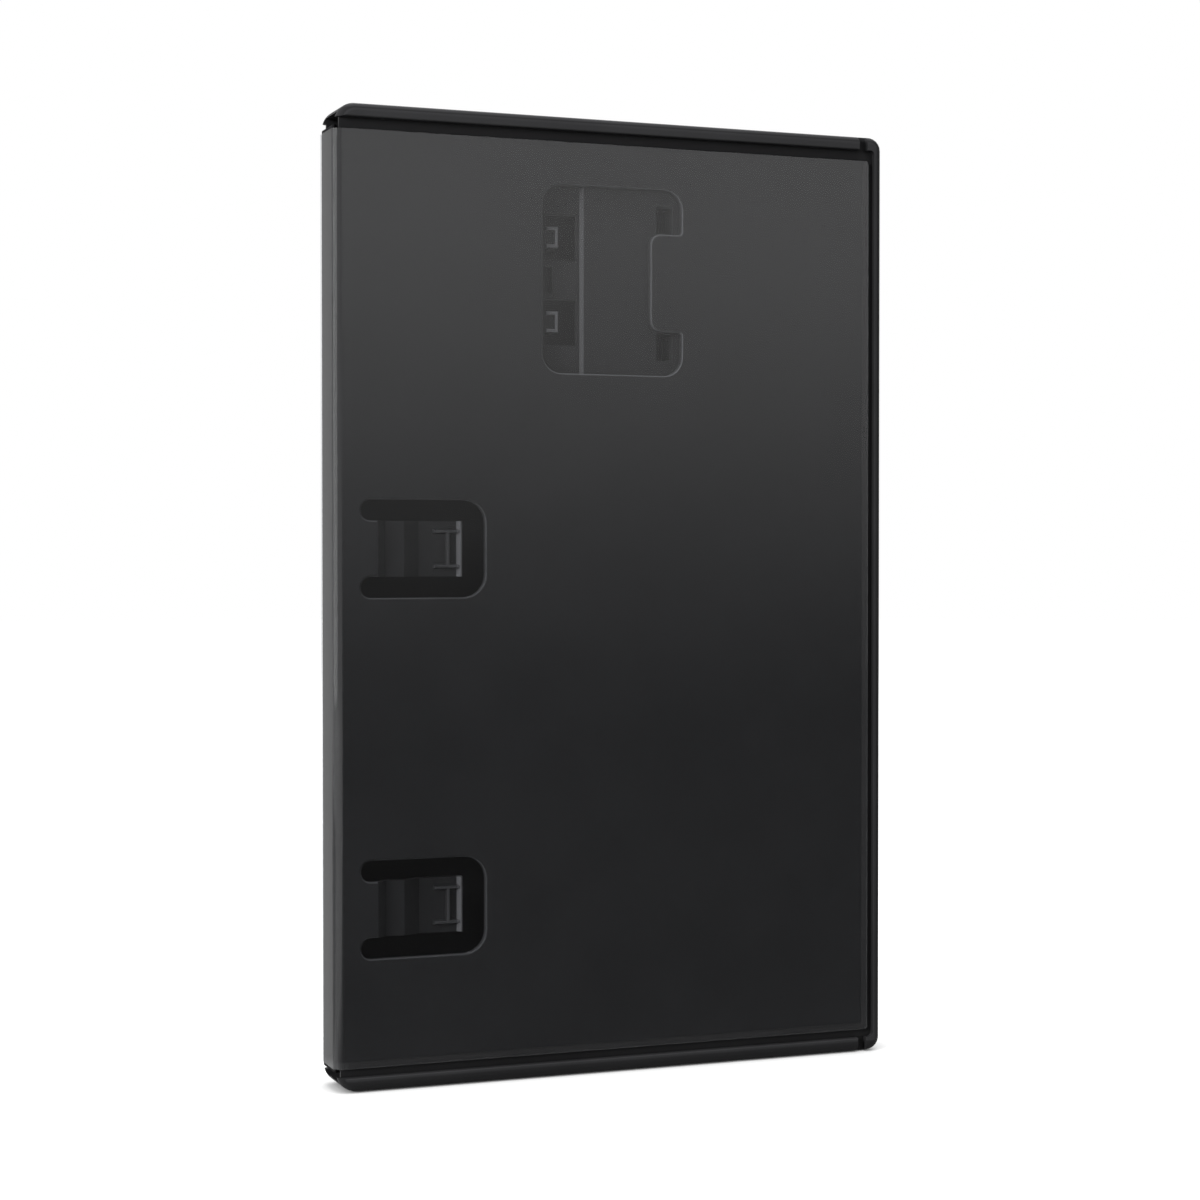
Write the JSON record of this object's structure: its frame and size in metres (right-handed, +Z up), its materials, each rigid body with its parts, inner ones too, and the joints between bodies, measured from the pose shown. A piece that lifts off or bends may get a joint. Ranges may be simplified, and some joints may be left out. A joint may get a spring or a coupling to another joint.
{
  "type": "game card case",
  "caption": "Slim upright case for a small game card: front and back covers hinged on a spine, booklet clips and a card holder in the front cover, and a clear film sleeve outside.",
  "frame": {"origin": "middle of the foot of the closed case, standing upright", "axes": "+Z up along the height, +X from the spine to the opening edge, -Y out of the front cover"},
  "size_m": [0.105, 0.011, 0.17],
  "materials": {
    "black_plastic": "fine moulded grain, black polypropylene",
    "clear_film": "clear glossy polypropylene film"
  },
  "bodies": {
    "back_cover": {"back_cover": "black_plastic", "sleeve_back": "clear_film"},
    "spine": {"spine": "black_plastic", "front_hinge_web": "black_plastic", "back_hinge_web": "black_plastic", "sleeve_spine": "clear_film"},
    "front_cover": {"front_cover": "black_plastic", "sleeve_front": "clear_film"}
  },
  "joints": [
    {"name": "back_hinge", "type": "hinge", "parent": "back_cover", "child": "spine", "pos_m": [-0.05178, 0.00438, 0.085], "axis": [0, 0, -1], "range_deg": [0, 90], "deforming": ["back_hinge_web", "sleeve_spine"]},
    {"name": "front_hinge", "type": "hinge", "parent": "spine", "child": "front_cover", "pos_m": [-0.05178, -0.00438, 0.085], "axis": [0, 0, -1], "range_deg": [0, 90], "deforming": ["front_hinge_web", "sleeve_spine"]}
  ]
}
